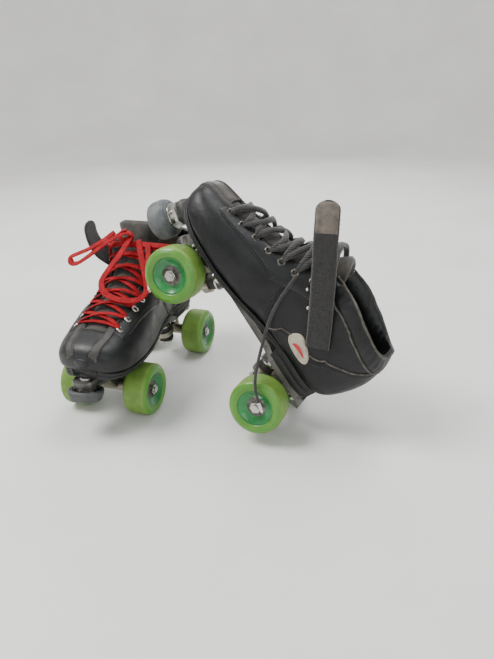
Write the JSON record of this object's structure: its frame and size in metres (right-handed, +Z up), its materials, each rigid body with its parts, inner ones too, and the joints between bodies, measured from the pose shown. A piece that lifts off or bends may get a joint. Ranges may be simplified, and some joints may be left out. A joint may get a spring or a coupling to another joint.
{
  "type": "pair of quad roller skates",
  "caption": "Pair of laced leather quad roller skates, one standing and one leaning nose-up on it, with turning wheels, steering trucks and screw-in toe stops.",
  "frame": {"origin": "on the floor, under the middle of the box around the pair without the loose lace ends", "axes": "+X towards the toe of the standing right skate, +Y towards its left side, where the leaning left skate is, +Z up"},
  "size_m": [0.2852, 0.4022, 0.2667],
  "materials": {
    "leather": "black smooth leather, lightly worn",
    "lining": "brushed suede tongue and lining",
    "sole": "black sole",
    "webbing": "woven hook-and-loop strap",
    "lace_red": "flat woven lace",
    "lace_black": "round woven lace",
    "eyelet": "plated eyelet",
    "badge": "domed badge",
    "plate": "black plate",
    "steel": "zinc plated steel",
    "truck": "cast truck metal",
    "cushion": "moulded cushion",
    "cup": "pivot cup",
    "urethane": "cast urethane wheel",
    "bearing": "bearing",
    "stop_rubber": "toe stop rubber",
    "stem": "stem"
  },
  "bodies": {
    "right_boot": {"right_boot_upper": "leather", "right_tongue": "lining", "right_footbed": "lining", "right_outsole": "sole", "right_strap_base": "webbing", "right_eyelets": "eyelet", "right_badge": "badge", "right_lace": "lace_red", "right_lace_end": "lace_red", "right_plate": "plate", "right_plate_bolts": "steel", "right_pivot_cups": "cup", "right_kingpins": "steel", "right_front_cushions": "cushion", "right_rear_cushions": "cushion"},
    "right_front_truck": {"right_front_hanger": "truck", "right_front_axle": "steel"},
    "right_front_inner_wheel": {"right_front_inner_wheel": "urethane", "right_front_inner_bearings": "bearing"},
    "right_front_outer_wheel": {"right_front_outer_wheel": "urethane", "right_front_outer_bearings": "bearing"},
    "right_rear_truck": {"right_rear_hanger": "truck", "right_rear_axle": "steel"},
    "right_rear_inner_wheel": {"right_rear_inner_wheel": "urethane", "right_rear_inner_bearings": "bearing"},
    "right_rear_outer_wheel": {"right_rear_outer_wheel": "urethane", "right_rear_outer_bearings": "bearing"},
    "right_toe_stop": {"right_toe_stop": "stop_rubber", "right_toe_stop_stem": "stem"},
    "right_ankle_strap": {"right_ankle_strap": "webbing"},
    "left_boot": {"left_boot_upper": "leather", "left_tongue": "lining", "left_footbed": "lining", "left_outsole": "sole", "left_strap_base": "webbing", "left_eyelets": "eyelet", "left_badge": "badge", "left_lace": "lace_black", "left_lace_end": "lace_black", "left_plate": "plate", "left_plate_bolts": "steel", "left_pivot_cups": "cup", "left_kingpins": "steel", "left_front_cushions": "cushion", "left_rear_cushions": "cushion"},
    "left_front_truck": {"left_front_hanger": "truck", "left_front_axle": "steel"},
    "left_front_inner_wheel": {"left_front_inner_wheel": "urethane", "left_front_inner_bearings": "bearing"},
    "left_front_outer_wheel": {"left_front_outer_wheel": "urethane", "left_front_outer_bearings": "bearing"},
    "left_rear_truck": {"left_rear_hanger": "truck", "left_rear_axle": "steel"},
    "left_rear_inner_wheel": {"left_rear_inner_wheel": "urethane", "left_rear_inner_bearings": "bearing"},
    "left_rear_outer_wheel": {"left_rear_outer_wheel": "urethane", "left_rear_outer_bearings": "bearing"},
    "left_toe_stop": {"left_toe_stop": "stop_rubber", "left_toe_stop_stem": "stem"},
    "left_ankle_strap": {"left_ankle_strap": "webbing"}
  },
  "joints": [
    {"name": "left_skate_lift", "type": "slide", "parent": "right_boot", "child": "left_boot", "axis": [0, 0, 1], "range_m": [0, 0.25]},
    {"name": "right_front_steer", "type": "hinge", "parent": "right_boot", "child": "right_front_truck", "pos_m": [0.04244, -0.1334, 0.037], "axis": [0.9422, 0, 0.335], "range_deg": [-5, 5], "stiffness_Nm_per_rad": 12, "deforming": ["right_front_cushions"]},
    {"name": "right_front_inner_spin", "type": "hinge", "parent": "right_front_truck", "child": "right_front_inner_wheel", "pos_m": [0.06645, -0.0914, 0.031], "axis": [0, -1, 0], "continuous": true},
    {"name": "right_front_outer_spin", "type": "hinge", "parent": "right_front_truck", "child": "right_front_outer_wheel", "pos_m": [0.06645, -0.1754, 0.031], "axis": [0, -1, 0], "continuous": true},
    {"name": "right_rear_steer", "type": "hinge", "parent": "right_boot", "child": "right_rear_truck", "pos_m": [-0.07755, -0.1334, 0.037], "axis": [-0.9422, 0, 0.335], "range_deg": [-5, 5], "stiffness_Nm_per_rad": 12, "deforming": ["right_rear_cushions"]},
    {"name": "right_rear_inner_spin", "type": "hinge", "parent": "right_rear_truck", "child": "right_rear_inner_wheel", "pos_m": [-0.10156, -0.0914, 0.031], "axis": [0, -1, 0], "continuous": true},
    {"name": "right_rear_outer_spin", "type": "hinge", "parent": "right_rear_truck", "child": "right_rear_outer_wheel", "pos_m": [-0.10156, -0.1754, 0.031], "axis": [0, -1, 0], "continuous": true},
    {"name": "right_toe_stop_screw", "type": "slide", "parent": "right_boot", "child": "right_toe_stop", "axis": [0.2588, 0, -0.9659], "range_m": [0, 0.006]},
    {"name": "right_strap_fold", "type": "hinge", "parent": "right_boot", "child": "right_ankle_strap", "pos_m": [-0.02255, -0.181, 0.1678], "axis": [0.6264, 0, -0.7795], "range_deg": [0, 35]},
    {"name": "left_front_steer", "type": "hinge", "parent": "left_boot", "child": "left_front_truck", "pos_m": [0.02094, -0.02174, 0.15609], "axis": [-0.1413, -0.2841, 0.9483], "range_deg": [-5, 5], "stiffness_Nm_per_rad": 12, "deforming": ["left_front_cushions"]},
    {"name": "left_front_inner_spin", "type": "hinge", "parent": "left_front_truck", "child": "left_front_inner_wheel", "pos_m": [-0.02349, -0.0392, 0.16597], "axis": [0.99, -0.036, 0.1367], "continuous": true},
    {"name": "left_front_outer_spin", "type": "hinge", "parent": "left_front_truck", "child": "left_front_outer_wheel", "pos_m": [0.05967, -0.04223, 0.17745], "axis": [0.99, -0.036, 0.1367], "continuous": true},
    {"name": "left_rear_steer", "type": "hinge", "parent": "left_boot", "child": "left_rear_truck", "pos_m": [0.03673, 0.0489, 0.06038], "axis": [0.1067, 0.8252, -0.5547], "range_deg": [-5, 5], "stiffness_Nm_per_rad": 12, "deforming": ["left_rear_cushions"]},
    {"name": "left_rear_inner_spin", "type": "hinge", "parent": "left_rear_truck", "child": "left_rear_inner_wheel", "pos_m": [-0.00138, 0.0597, 0.03197], "axis": [0.99, -0.036, 0.1367], "continuous": true},
    {"name": "left_rear_outer_spin", "type": "hinge", "parent": "left_rear_truck", "child": "left_rear_outer_wheel", "pos_m": [0.08177, 0.05667, 0.04346], "axis": [0.99, -0.036, 0.1367], "continuous": true},
    {"name": "left_toe_stop_screw", "type": "slide", "parent": "left_boot", "child": "left_toe_stop", "axis": [0.0159, -0.9324, -0.3611], "range_m": [-0.004, 0.002]},
    {"name": "left_strap_fold", "type": "hinge", "parent": "left_boot", "child": "left_ankle_strap", "pos_m": [0.06489, 0.12062, 0.18692], "axis": [0.0421, 0.9982, -0.0416], "range_deg": [0, 35]}
  ]
}
